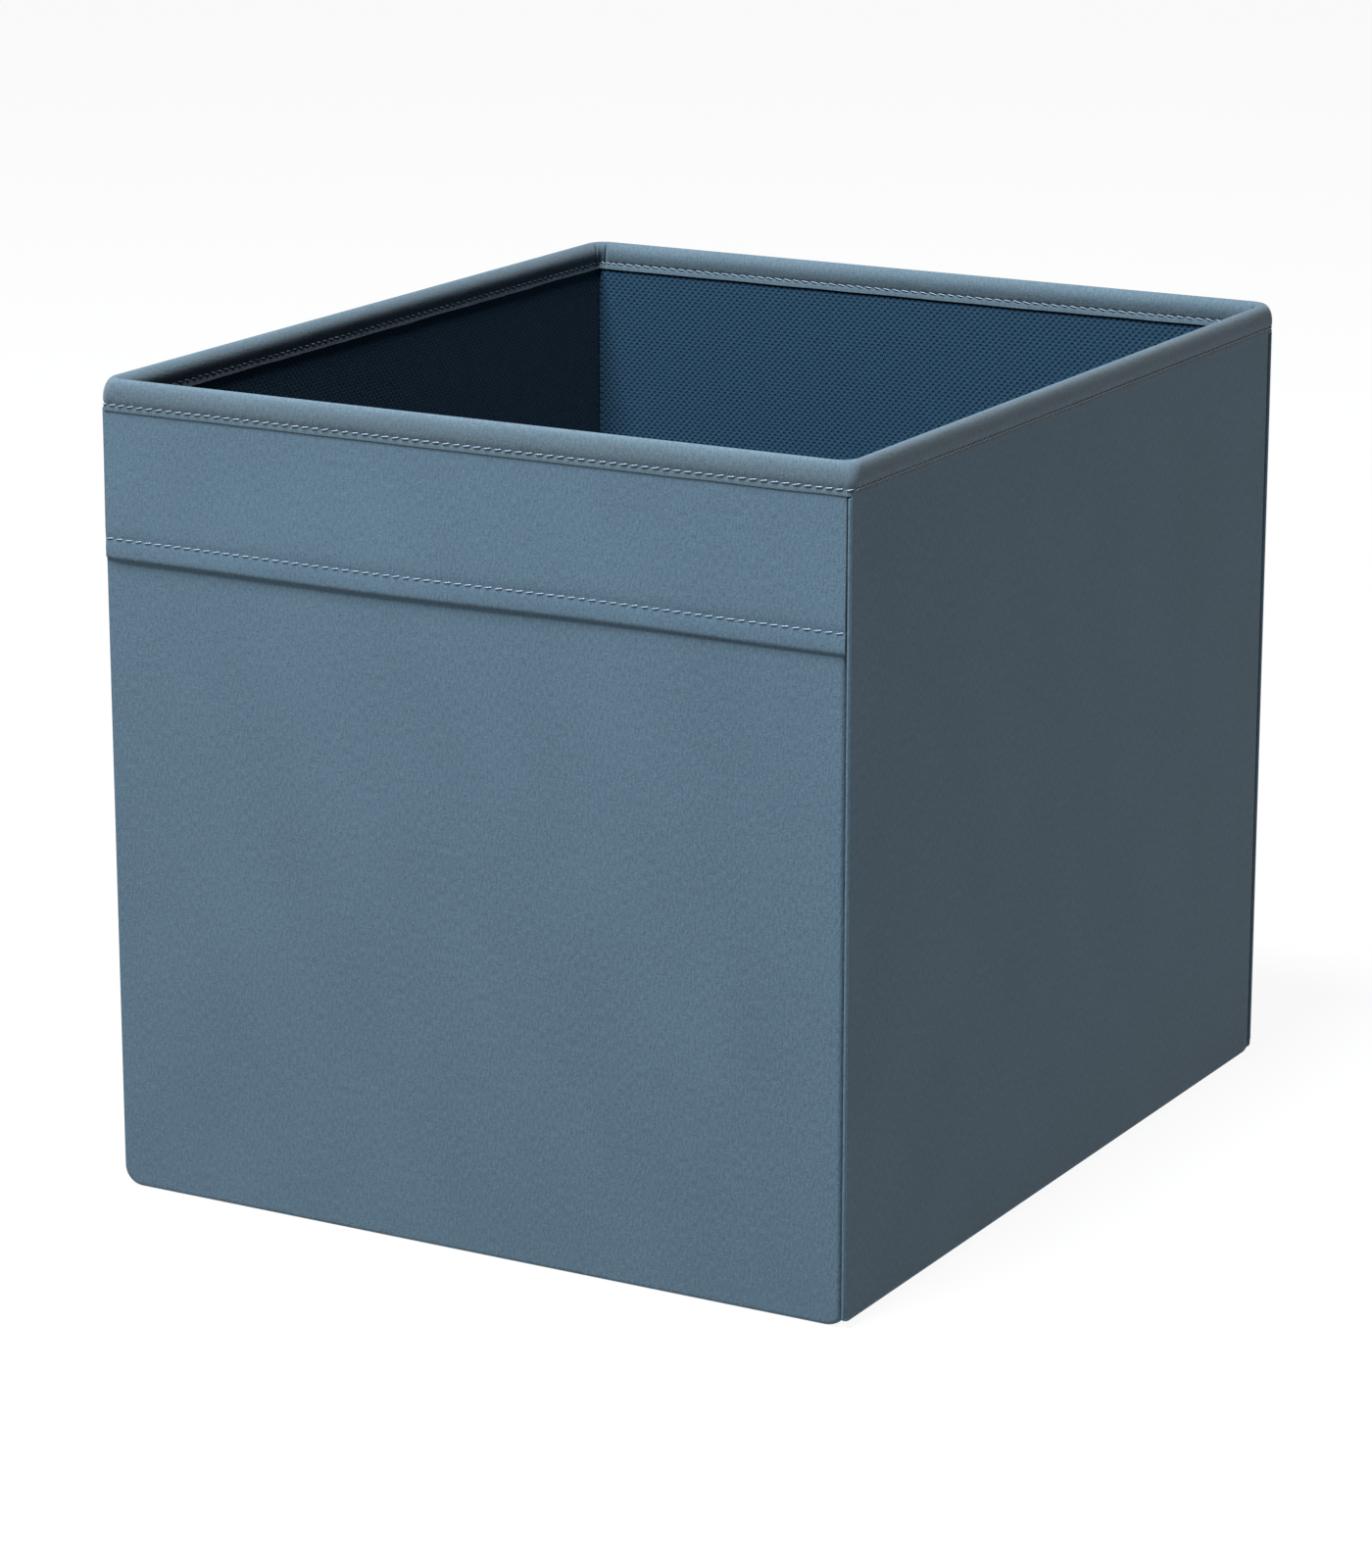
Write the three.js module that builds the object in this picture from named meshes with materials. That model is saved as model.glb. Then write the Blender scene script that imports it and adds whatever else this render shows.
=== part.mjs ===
// Fabric storage bin for a cube shelf: four board-stiffened fabric walls, sewn together at the
// vertical corners so that they fold flat, a base flap, a bound rim and a pull band on the front.
// Units are millimetres. +Z is up, the front faces -Y, and the origin is the bottom centre.

import * as THREE from 'three';

// Driving dimensions of the whole bin.
const BIN_WIDTH = 330;
const BIN_DEPTH = 380;
const BIN_HEIGHT = 330;

// Sheet thicknesses, and the play left between neighbouring sheets.
const FABRIC = 0.5;
const BOARD = 1.6;
const THREAD = 0.3;
const PLAY = 0.3;
const THREAD_PLAY = 0.2;

// Depth of each wall layer, from the bin's outer plane inwards.
const BINDING_OUT = THREAD + THREAD_PLAY;
const COVER_OUT = BINDING_OUT + FABRIC + PLAY;
const BOARD_OUT = COVER_OUT + FABRIC + PLAY;
const LINING_OUT = BOARD_OUT + BOARD + PLAY;
const BINDING_IN = LINING_OUT + FABRIC + PLAY;
const WALL_THICKNESS = BINDING_IN + FABRIC;

// Rim binding: a strip folded over the wall's top edge and sewn through.
const BINDING_DROP_OUTSIDE = 12.6;
const BINDING_DROP_INSIDE = 13.6;
const RIM_SEAM_DROP = 10.2;

// Pull band across the front, open along its lower edge.
const BAND_BOTTOM_DROP = 71;
const BAND_HEM = 7.8;

// Wall panels.
const PANEL_CORNER_RADIUS = 9;
const PANEL_TOP_GAP = FABRIC + PLAY;
const SIDE_WALL_LIFT = 2;
const WELT_SIZE = 1.6;
const WELT_ROUNDING = 1.2;

// Base flap, which lies between the walls and hangs on a tape under the left wall.
const BASE_SIDE_PLAY = 1.5;
const BASE_CORNER_RADIUS = 6;
const BASE_SEAM_INSET = 7;
const BASE_SEAM_WIDTH = 0.4;
const TAPE_LIFT = FABRIC + PLAY;

const CURVE_STEPS = 6;
const THREAD_SIDES = 8;

const FINISH = {
  cover: { color: 0x5d7286, roughness: 0.85, metalness: 0 },
  binding: { color: 0x667b8d, roughness: 0.82, metalness: 0 },
  lining: { color: 0x27425a, roughness: 0.95, metalness: 0 },
  board: { color: 0x8c877d, roughness: 0.95, metalness: 0 },
  thread: { color: 0x8698a6, roughness: 0.6, metalness: 0 },
};

const bin = new THREE.Group();
bin.name = 'fabric_storage_bin';

function addPiece(parent, name, geometry, finish) {
  const piece = new THREE.Mesh(geometry, new THREE.MeshStandardMaterial(finish));
  piece.name = name;
  parent.add(piece);
}

function extrude(shape, length) {
  return new THREE.ExtrudeGeometry(shape, {
    depth: length,
    bevelEnabled: false,
    curveSegments: CURVE_STEPS,
  });
}

// A shape drawn in x and y, extruded and stood up: its y becomes height and the extrusion runs
// inwards, from the given depth behind the wall's outer plane.
function standUp(shape, thickness, depth) {
  const geometry = extrude(shape, thickness);
  geometry.rotateX(Math.PI / 2);
  geometry.translate(0, depth + thickness, 0);
  return geometry;
}

// A section drawn in depth and height, run along the wall's length and centred on it.
function runAlongWall(section, length) {
  const geometry = extrude(section, length);
  const turn = new THREE.Matrix4().makeBasis(
    new THREE.Vector3(0, 1, 0),
    new THREE.Vector3(0, 0, 1),
    new THREE.Vector3(1, 0, 0),
  );
  geometry.applyMatrix4(turn);
  geometry.translate(-length / 2, 0, 0);
  return geometry;
}

// A wall panel seen from outside, with rounded lower corners.
function panelShape(width, bottom, top) {
  const half = width / 2;
  const r = PANEL_CORNER_RADIUS;
  const shape = new THREE.Shape();
  shape.moveTo(-half, top);
  shape.lineTo(-half, bottom + r);
  shape.absarc(-half + r, bottom + r, r, Math.PI, Math.PI * 1.5, false);
  shape.lineTo(half - r, bottom);
  shape.absarc(half - r, bottom + r, r, -Math.PI / 2, 0, false);
  shape.lineTo(half, top);
  return shape;
}

// A layer ends short of the corner's mitre, so that neighbouring walls never cross.
function layerLength(wallLength, depth, thickness) {
  return wallLength - 2 * (depth + thickness + PLAY);
}

function panel(wallLength, depth, thickness, bottom) {
  const width = layerLength(wallLength, depth, thickness);
  const shape = panelShape(width, bottom, BIN_HEIGHT - PANEL_TOP_GAP);
  return standUp(shape, thickness, depth);
}

// The binding's section: an upside-down U over the top edge.
function bindingSection() {
  const outsideEdge = BIN_HEIGHT - BINDING_DROP_OUTSIDE;
  const insideEdge = BIN_HEIGHT - BINDING_DROP_INSIDE;
  const underTop = BIN_HEIGHT - FABRIC;
  const section = new THREE.Shape();
  section.moveTo(BINDING_OUT, outsideEdge);
  section.lineTo(BINDING_OUT + FABRIC, outsideEdge);
  section.lineTo(BINDING_OUT + FABRIC, underTop);
  section.lineTo(BINDING_IN, underTop);
  section.lineTo(BINDING_IN, insideEdge);
  section.lineTo(WALL_THICKNESS, insideEdge);
  section.lineTo(WALL_THICKNESS, BIN_HEIGHT);
  section.lineTo(BINDING_OUT, BIN_HEIGHT);
  return section;
}

// A seam's thread, laid along the wall at the given height.
function seamThread(length, height) {
  const section = new THREE.Shape();
  const radius = THREAD / 2;
  for (let side = 0; side < THREAD_SIDES; side += 1) {
    const angle = (2 * Math.PI * (side + 0.5)) / THREAD_SIDES;
    const point = [radius + radius * Math.cos(angle), height + radius * Math.sin(angle)];
    if (side === 0) {
      section.moveTo(...point);
    } else {
      section.lineTo(...point);
    }
  }
  return runAlongWall(section, length);
}

// One wall, built with its outer face on y = 0 and its thickness running to +y, then turned to
// its side of the bin. The side walls are cut shorter at the bottom, so the bin stands on its front
// and back walls and there is room under the left wall for the base tape.
function addWall(side, wallLength, bottomLift) {
  const wall = new THREE.Group();
  const boardBottom = bottomLift + FABRIC + PLAY;
  addPiece(wall, `${side.name}_cover`, panel(wallLength, COVER_OUT, FABRIC, bottomLift), FINISH.cover);
  addPiece(wall, `${side.name}_board`, panel(wallLength, BOARD_OUT, BOARD, boardBottom), FINISH.board);
  addPiece(wall, `${side.name}_lining`, panel(wallLength, LINING_OUT, FABRIC, bottomLift), FINISH.lining);
  const rimLength = wallLength - 2 * (WALL_THICKNESS + PLAY);
  addPiece(wall, `${side.name}_rim_binding`, runAlongWall(bindingSection(), rimLength), FINISH.binding);
  const thread = seamThread(rimLength, BIN_HEIGHT - RIM_SEAM_DROP);
  addPiece(wall, `${side.name}_rim_thread`, thread, FINISH.thread);
  wall.position.set(side.x, side.y, 0);
  wall.rotation.z = side.turn;
  bin.add(wall);
  return wall;
}

const SIDES = {
  front: { name: 'front', x: 0, y: -BIN_DEPTH / 2, turn: 0 },
  right: { name: 'right', x: BIN_WIDTH / 2, y: 0, turn: Math.PI / 2 },
  back: { name: 'back', x: 0, y: BIN_DEPTH / 2, turn: Math.PI },
  left: { name: 'left', x: -BIN_WIDTH / 2, y: 0, turn: -Math.PI / 2 },
};

const frontWall = addWall(SIDES.front, BIN_WIDTH, 0);
addWall(SIDES.right, BIN_DEPTH, SIDE_WALL_LIFT);
addWall(SIDES.back, BIN_WIDTH, 0);
addWall(SIDES.left, BIN_DEPTH, SIDE_WALL_LIFT);

// The pull band hangs from just under the rim binding and reaches both corner seams.
function addPullBand() {
  const width = BIN_WIDTH - 2 * (WELT_SIZE + PLAY);
  const half = width / 2;
  const top = BIN_HEIGHT - BINDING_DROP_OUTSIDE - PLAY;
  const bottom = BIN_HEIGHT - BAND_BOTTOM_DROP;
  const shape = new THREE.Shape();
  shape.moveTo(-half, bottom);
  shape.lineTo(half, bottom);
  shape.lineTo(half, top);
  shape.lineTo(-half, top);
  addPiece(frontWall, 'pull_band', standUp(shape, FABRIC, BINDING_OUT), FINISH.cover);
  addPiece(frontWall, 'pull_band_thread', seamThread(width, bottom + BAND_HEM), FINISH.thread);
}

addPullBand();

// A narrow welt stands in the outer angle of each vertical corner, under the rim binding.
function addCornerWelt(name, xSide, ySide) {
  const size = WELT_SIZE;
  const r = WELT_ROUNDING;
  const section = new THREE.Shape();
  section.moveTo(0, 0);
  section.lineTo(size, 0);
  section.lineTo(size, size - r);
  section.absarc(size - r, size - r, r, 0, Math.PI / 2, false);
  section.lineTo(0, size);
  const height = BIN_HEIGHT - BINDING_DROP_INSIDE - PLAY - TAPE_LIFT;
  const welt = extrude(section, height);
  const turns = { '1,1': 0, '-1,1': 1, '-1,-1': 2, '1,-1': 3 };
  welt.rotateZ(turns[`${xSide},${ySide}`] * (Math.PI / 2));
  const x = xSide * (BIN_WIDTH / 2 - size);
  const y = ySide * (BIN_DEPTH / 2 - size);
  welt.translate(x, y, TAPE_LIFT);
  addPiece(bin, name, welt, FINISH.binding);
}

addCornerWelt('corner_welt_front_left', -1, -1);
addCornerWelt('corner_welt_front_right', 1, -1);
addCornerWelt('corner_welt_back_left', -1, 1);
addCornerWelt('corner_welt_back_right', 1, 1);

// Half sizes of the base flap, which fits between the walls with play all round.
const BASE_HALF_X = BIN_WIDTH / 2 - WALL_THICKNESS - BASE_SIDE_PLAY;
const BASE_HALF_Y = BIN_DEPTH / 2 - WALL_THICKNESS - BASE_SIDE_PLAY;

function roundedRectangle(halfX, halfY, r) {
  const outline = new THREE.Shape();
  outline.moveTo(-halfX + r, -halfY);
  outline.lineTo(halfX - r, -halfY);
  outline.absarc(halfX - r, -halfY + r, r, -Math.PI / 2, 0, false);
  outline.lineTo(halfX, halfY - r);
  outline.absarc(halfX - r, halfY - r, r, 0, Math.PI / 2, false);
  outline.lineTo(-halfX + r, halfY);
  outline.absarc(-halfX + r, halfY - r, r, Math.PI / 2, Math.PI, false);
  outline.lineTo(-halfX, -halfY + r);
  outline.absarc(-halfX + r, -halfY + r, r, Math.PI, Math.PI * 1.5, false);
  return outline;
}

function baseSheet(bottom, thickness) {
  const outline = roundedRectangle(BASE_HALF_X, BASE_HALF_Y, BASE_CORNER_RADIUS);
  const sheet = extrude(outline, thickness);
  sheet.translate(0, 0, bottom);
  return sheet;
}

// The seam that closes the base's pocket round its board: one ring of thread on the lining.
function baseSeam(bottom) {
  const halfX = BASE_HALF_X - BASE_SEAM_INSET;
  const halfY = BASE_HALF_Y - BASE_SEAM_INSET;
  const ring = roundedRectangle(halfX, halfY, BASE_CORNER_RADIUS);
  const inner = roundedRectangle(
    halfX - BASE_SEAM_WIDTH,
    halfY - BASE_SEAM_WIDTH,
    BASE_CORNER_RADIUS - BASE_SEAM_WIDTH,
  );
  ring.holes.push(inner);
  const thread = extrude(ring, THREAD);
  thread.translate(0, 0, bottom);
  return thread;
}

function addBase() {
  const boardBottom = FABRIC + PLAY;
  const liningBottom = boardBottom + BOARD + PLAY;
  addPiece(bin, 'base_cover', baseSheet(0, FABRIC), FINISH.cover);
  addPiece(bin, 'base_board', baseSheet(boardBottom, BOARD), FINISH.board);
  addPiece(bin, 'base_lining', baseSheet(liningBottom, FABRIC), FINISH.lining);
  addPiece(bin, 'base_thread', baseSeam(liningBottom + FABRIC + THREAD_PLAY), FINISH.thread);

  // The tape runs under the left wall's lower edge, from its outer face to the base.
  const tapeOuter = -BIN_WIDTH / 2 + PLAY;
  const tapeInner = -BASE_HALF_X - PLAY;
  const tape = new THREE.BoxGeometry(tapeInner - tapeOuter, 2 * BASE_HALF_Y, FABRIC);
  tape.translate((tapeInner + tapeOuter) / 2, 0, FABRIC / 2);
  addPiece(bin, 'base_hinge_tape', tape, FINISH.cover);
}

addBase();

export default bin;
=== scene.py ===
# %% [markdown]
# # A fabric storage bin, sewn round folding boards
# The bin is made as shelf boxes usually are: four stiff boards dressed in cloth, a bound rim,
# a pull band across the front and a loose base that hangs on a tape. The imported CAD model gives
# the sizes and the bodies that move. This lesson dresses it, piece by piece.

# %% Load the frame
import math
import random

import bpy
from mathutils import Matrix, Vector, noise


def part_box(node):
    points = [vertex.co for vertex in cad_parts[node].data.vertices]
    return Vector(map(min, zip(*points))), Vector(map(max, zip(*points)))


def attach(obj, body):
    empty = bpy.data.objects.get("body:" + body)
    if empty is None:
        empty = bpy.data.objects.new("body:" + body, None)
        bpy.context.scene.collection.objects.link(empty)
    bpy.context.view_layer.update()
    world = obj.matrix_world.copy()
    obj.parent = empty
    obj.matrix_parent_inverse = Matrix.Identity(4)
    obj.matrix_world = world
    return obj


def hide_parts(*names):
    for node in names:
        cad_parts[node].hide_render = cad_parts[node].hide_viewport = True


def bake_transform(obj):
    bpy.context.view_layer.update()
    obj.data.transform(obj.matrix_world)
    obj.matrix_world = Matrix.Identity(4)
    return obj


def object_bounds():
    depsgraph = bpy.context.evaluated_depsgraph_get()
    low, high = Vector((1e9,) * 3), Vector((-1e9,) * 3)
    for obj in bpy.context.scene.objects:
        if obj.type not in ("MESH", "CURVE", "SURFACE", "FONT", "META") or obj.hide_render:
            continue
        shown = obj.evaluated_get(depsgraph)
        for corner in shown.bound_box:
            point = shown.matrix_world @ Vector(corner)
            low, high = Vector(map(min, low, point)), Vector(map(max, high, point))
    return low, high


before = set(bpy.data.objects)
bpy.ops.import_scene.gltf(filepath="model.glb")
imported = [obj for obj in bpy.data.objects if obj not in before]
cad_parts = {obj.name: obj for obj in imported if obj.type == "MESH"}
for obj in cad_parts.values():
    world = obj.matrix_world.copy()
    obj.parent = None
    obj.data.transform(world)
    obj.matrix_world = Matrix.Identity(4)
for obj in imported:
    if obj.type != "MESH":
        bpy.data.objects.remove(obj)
cad_low, cad_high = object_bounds()
WIDTH, DEPTH, HEIGHT = cad_high - cad_low
MM = 0.001
print(f"the bin is {WIDTH / MM:.0f} x {DEPTH / MM:.0f} x {HEIGHT / MM:.0f} mm")

# %% [markdown]
# ## Camera, floor and light
# A product picture of a dark, matte box wants one big soft light, high up in front, so that the
# rim catches it, the front is clear and the side falls into calm shade. A pale floor that
# glows a little, like the curved table of a studio, lifts the shadows from below.

# %% Camera
VIEW_AZIMUTH = math.radians(29.47)
VIEW_ELEVATION = math.radians(15.29)
VIEW_DISTANCE = 2.111
VIEW_LENS = 118.0
AIM_FROM_CENTRE = Vector((-5.7, -9.6, -19.3)) * MM

centre = (cad_low + cad_high) / 2
towards_camera = Vector((
    math.sin(VIEW_AZIMUTH) * math.cos(VIEW_ELEVATION),
    -math.cos(VIEW_AZIMUTH) * math.cos(VIEW_ELEVATION),
    math.sin(VIEW_ELEVATION),
))
camera = bpy.data.objects.new("camera", bpy.data.cameras.new("camera"))
bpy.context.scene.collection.objects.link(camera)
camera.data.lens = VIEW_LENS
camera.data.sensor_width = 36
camera.location = centre + AIM_FROM_CENTRE + towards_camera * VIEW_DISTANCE
camera.rotation_mode = "QUATERNION"
camera.rotation_quaternion = (-towards_camera).to_track_quat("-Z", "Y")
bpy.context.scene.camera = camera
bpy.context.scene.view_settings.view_transform = "Standard"
print(f"the camera stands {camera.location.z:.2f} m up, {VIEW_DISTANCE} m away")

# %% [markdown]
# ## Colours and nodes
# Colours are written as sRGB hex, as in any paint program, and one function turns them into the
# linear light that shaders work in. Another adds a shader node, its settings and its links.

# %% Colours and nodes


def linear(hex_colour):
    """An sRGB hex colour as the linear colour that shaders and lights work in."""
    channels = [int(hex_colour[k:k + 2], 16) / 255 for k in (1, 3, 5)]
    return [c / 12.92 if c <= 0.04045 else ((c + 0.055) / 1.055) ** 2.4 for c in channels] + [1.0]


def add_node(material, kind, settings=None, links=None):
    """Adds a node. Lower-case settings are its own, others are inputs; links are to input names."""
    node = material.node_tree.nodes.new(kind)
    for name, value in (settings or {}).items():
        if isinstance(name, str) and name.islower():
            setattr(node, name, value)
        else:
            node.inputs[name].default_value = value
    for name, source in (links or {}).items():
        output = source.outputs[0] if isinstance(source, bpy.types.Node) else source
        material.node_tree.links.new(output, node.inputs[name])
    return node


def new_material(name):
    """A material with an empty node tree."""
    material = bpy.data.materials.new(name)
    material.use_nodes = True
    material.node_tree.nodes.clear()
    return material


# %% [markdown]
# ## Floor, room and key light
# A painted floor that runs on into the background leaves the bin's outline clean. The soft box
# hangs a little to the left of the middle, so that its edge just grazes the left wall's lining.

# %% Floor, world and key light
FLOOR_HALF = 60.0
FLOOR_GAP = 0.2 * MM
FLOOR_GLOW = 0.93
KEY_DIRECTION = Vector((-0.15, -0.675, 1.75)).normalized()
KEY_DISTANCE = 2.2
KEY_SIZE = 0.8
KEY_POWER = 168
SKY_STRENGTH = 0.075

painted_floor = new_material("painted_studio_floor")
floor_surface = add_node(painted_floor, "ShaderNodeBsdfPrincipled", {
    "Base Color": linear("#3c3c3c"),
    "Roughness": 0.9,
    "Emission Color": linear("#ffffff"),
    "Emission Strength": FLOOR_GLOW,
})
add_node(painted_floor, "ShaderNodeOutputMaterial", links={"Surface": floor_surface})
floor_mesh = bpy.data.meshes.new("studio_floor")
floor_signs = [(-1, -1), (1, -1), (1, 1), (-1, 1)]
floor_corners = [(x * FLOOR_HALF, y * FLOOR_HALF, cad_low.z - FLOOR_GAP) for x, y in floor_signs]
floor_mesh.from_pydata(floor_corners, [], [(0, 1, 2, 3)])
floor_mesh.materials.append(painted_floor)
studio_floor = bpy.data.objects.new("studio_floor", floor_mesh)
bpy.context.scene.collection.objects.link(studio_floor)

sky = bpy.data.worlds.new("studio_room")
sky.use_nodes = True
sky.node_tree.nodes["Background"].inputs["Color"].default_value = linear("#fff6ec")
sky.node_tree.nodes["Background"].inputs["Strength"].default_value = SKY_STRENGTH
bpy.context.scene.world = sky

key_light = bpy.data.objects.new("key_light", bpy.data.lights.new("key_light", "AREA"))
key_light.data.size = KEY_SIZE
key_light.data.energy = KEY_POWER
key_light.data.color = linear("#f4faff")[:3]
key_light.location = centre + KEY_DIRECTION * KEY_DISTANCE
key_light.rotation_euler = KEY_DIRECTION.to_track_quat("Z", "Y").to_euler()
bpy.context.scene.collection.objects.link(key_light)
print(f"one {KEY_SIZE} m soft light of {KEY_POWER} W, {KEY_DISTANCE} m away")

# %% [markdown]
# ## The cloths
# The outside is tightly woven polyester with a brushed, matte face: threads about a quarter of
# a millimetre apart that no eye picks out, a faint upright grain, and a dull bloom at low
# angles. The lining is a spun non-woven sheet, pressed by a hot roller that leaves rows of
# little oval pits. Both patterns are laid out in real millimetres on each piece's own UV map,
# so they stay with the cloth when the bin folds.

# %% Woven polyester, brushed


def cloth_millimetres(material):
    """The piece's UV map, which is in metres, as millimetres."""
    uv = add_node(material, "ShaderNodeTexCoord")
    scale = (1 / MM, 1 / MM, 1 / MM)
    return add_node(material, "ShaderNodeMapping", {"Scale": scale}, {"Vector": uv.outputs["UV"]})


def blotches(material, place, across, along, detail=2.0):
    """A pattern of soft blotches, about across by along millimetres."""
    scale = (1 / across, 1 / along, 1.0)
    spread = add_node(material, "ShaderNodeMapping", {"Scale": scale}, {"Vector": place})
    return add_node(material, "ShaderNodeTexNoise", {"Scale": 1.0, "Detail": detail}, {"Vector": spread})


def finish_material(material, colours, tone, height, relief, surface):
    """Mixes two colours by tone, raises the surface by height, and joins both to the output."""
    colour = add_node(
        material, "ShaderNodeMix",
        {"data_type": "RGBA", 6: linear(colours[0]), 7: linear(colours[1])},
        {0: tone},
    )
    bump = add_node(material, "ShaderNodeBump", relief, {"Height": height})
    shading = add_node(
        material, "ShaderNodeBsdfPrincipled", surface,
        {"Base Color": colour.outputs[2], "Normal": bump},
    )
    add_node(material, "ShaderNodeOutputMaterial", links={"Surface": shading})
    return material


def woven_polyester(name, shade, light):
    """Matte woven cloth. Threads are uneven streaks: even rows so fine would show false rings."""
    material = new_material(name)
    place = cloth_millimetres(material)
    clouds = blotches(material, place, 45, 70)
    grain = blotches(material, place, 0.9, 2.8, 3.0)
    fleck = blotches(material, place, 0.8, 0.9, 2.0)
    uneven = add_node(material, "ShaderNodeMix", {"data_type": "FLOAT", 0: 0.45}, {2: grain, 3: fleck})
    worn = add_node(material, "ShaderNodeMix", {"data_type": "FLOAT", 0: 0.12}, {2: uneven, 3: clouds})
    tone = add_node(material, "ShaderNodeMapRange", {"From Min": 0.4, "From Max": 0.6}, {"Value": worn})
    threads = blotches(material, place, 0.5, 7)
    height = add_node(material, "ShaderNodeMix", {"data_type": "FLOAT", 0: 0.3}, {2: uneven, 3: threads})
    relief = {"Strength": 1.0, "Distance": 0.4 * MM}
    surface = {
        "Roughness": 0.86, "IOR": 1.5, "Specular IOR Level": 0.3,
        "Sheen Weight": 0.12, "Sheen Roughness": 0.5,
    }
    return finish_material(material, (shade, light), tone, height, relief, surface)


outer_cloth = woven_polyester("woven_polyester_brushed", "#394e5d", "#475e6d")
binding_cloth = woven_polyester("woven_polyester_binding_strip", "#3d4d58", "#4a5c66")
print("made", outer_cloth.name, "and", binding_cloth.name)

# %% [markdown]
# ## The lining sheet
# Polypropylene fibres are pressed between a hot engraved roller and a smooth one. The pits are
# shaded as relief: the upper edge of each is dark and the lower edge catches the light. The pits
# are also painted a darker colour than the ridges: painted shade in the hollows.

# %% Embossed non-woven


def embossed_nonwoven(name, ridge, painted_pit_shade):
    """Spun polypropylene with pits 3 mm apart, in rows 1.5 mm apart that are shifted by half."""
    material = new_material(name)
    place = cloth_millimetres(material)
    axes = add_node(material, "ShaderNodeSeparateXYZ", links={0: place})
    pit_spacing = 3.0
    waves = []
    for axis in (0, 1):
        turn = add_node(
            material, "ShaderNodeMath", {"operation": "MULTIPLY", 1: 2 * math.pi / pit_spacing},
            {0: axes.outputs[axis]},
        )
        waves.append(add_node(material, "ShaderNodeMath", {"operation": "COSINE"}, {0: turn}))
    lattice = add_node(
        material, "ShaderNodeMath", {"operation": "MULTIPLY"}, {0: waves[0], 1: waves[1]}
    )
    fibres = blotches(material, place, 0.7, 0.7, 3.0)
    rough_edge = add_node(
        material, "ShaderNodeMath", {"operation": "MULTIPLY_ADD", 1: 0.7, 2: -0.35}, {0: fibres}
    )
    edge = add_node(material, "ShaderNodeMath", {"operation": "ADD"}, {0: lattice, 1: rough_edge})
    pits = add_node(
        material, "ShaderNodeMapRange",
        {"interpolation_type": "SMOOTHSTEP", "From Min": 0.0, "From Max": 0.6},
        {"Value": edge},
    )
    clouds = blotches(material, place, 14, 14)
    tone = add_node(
        material, "ShaderNodeMapRange", {"From Min": 0.3, "From Max": 0.7, "To Min": 0.75, "To Max": 1.0},
        {"Value": clouds},
    )
    # How dark each pit is painted, varied in slow clouds: painted shade in the hollows.
    depth = add_node(material, "ShaderNodeMath", {"operation": "MULTIPLY"}, {0: pits, 1: tone})
    relief = {"Strength": 1.0, "Distance": 0.9 * MM, "invert": True}
    surface = {"Roughness": 0.7, "IOR": 1.49, "Specular IOR Level": 0.25, "Sheen Weight": 0.03}
    return finish_material(material, (ridge, painted_pit_shade), depth, pits, relief, surface)


# The second colour is the pits' painted shade, darker than the ridges.
lining_cloth = embossed_nonwoven("embossed_nonwoven_polypropylene", "#12364c", "#082438")
print("made", lining_cloth.name)

# %% [markdown]
# ## Thread and board
# Sewing thread is two plies of spun polyester twisted together, so a stitch has fine slanting
# ridges and a faint shine, with painted shade in the grooves between the plies. The board is
# pressed from waste paper and is hidden by the cloths, except where a learner takes them off.

# %% Sewing thread and greyboard
WAVE_NODE_PERIOD = 0.314
PLY_SPACING = 0.8


def spun_thread(name, shade, light):
    """Two-ply polyester thread: its twist shows as slanting ridges 0.8 mm apart, painted darker in the
    grooves.
    """
    material = new_material(name)
    place = cloth_millimetres(material)
    slanted = add_node(
        material, "ShaderNodeMapping", {"Rotation": (0, 0, math.radians(50))}, {"Vector": place}
    )
    twist = add_node(
        material, "ShaderNodeTexWave", {"Scale": WAVE_NODE_PERIOD / PLY_SPACING},
        {"Vector": slanted},
    )
    relief = {"Strength": 0.6, "Distance": 0.1 * MM}
    surface = {"Roughness": 0.5, "IOR": 1.54, "Sheen Weight": 0.15}
    # The colours follow the twist: the darker tone is painted shade in the grooves between the plies, the
    # lighter one painted light on their crowns.
    return finish_material(material, (shade, light), twist, twist, relief, surface)


def recycled_greyboard(name, shade, light):
    """Grey paper board: matte, with darker and lighter flecks of about 2 mm."""
    material = new_material(name)
    flecks = blotches(material, cloth_millimetres(material), 2, 2, 4.0)
    tone = add_node(material, "ShaderNodeMapRange", {"From Min": 0.35, "From Max": 0.65}, {0: flecks})
    relief = {"Strength": 0.4, "Distance": 0.05 * MM}
    surface = {"Roughness": 0.95, "IOR": 1.5}
    return finish_material(material, (shade, light), tone, flecks, relief, surface)


# The thread's darker tone is painted shade in the twist's grooves, the lighter one painted light on the
# crowns.
sewing_thread = spun_thread("spun_polyester_thread", "#56687d", "#81919f")
greyboard = recycled_greyboard("recycled_greyboard", "#7d786f", "#9a958a")
print("made", sewing_thread.name, "and", greyboard.name)

# %% [markdown]
# ## Finding a place on a wall
# All four walls are alike, so every piece is drawn on a flat pattern: how far along the wall,
# how deep behind its outer plane, and how high. One function turns a pattern point into a place
# in the room by quarter turns about the middle of the bin.

# %% Walls and layers
WALLS = ("front", "right", "back", "left")
HALF_ALONG = {"front": WIDTH / 2, "right": DEPTH / 2, "back": WIDTH / 2, "left": DEPTH / 2}
HALF_ACROSS = {"front": DEPTH / 2, "right": WIDTH / 2, "back": DEPTH / 2, "left": WIDTH / 2}
BODY = {wall: wall + "_wall" for wall in WALLS}


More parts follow.
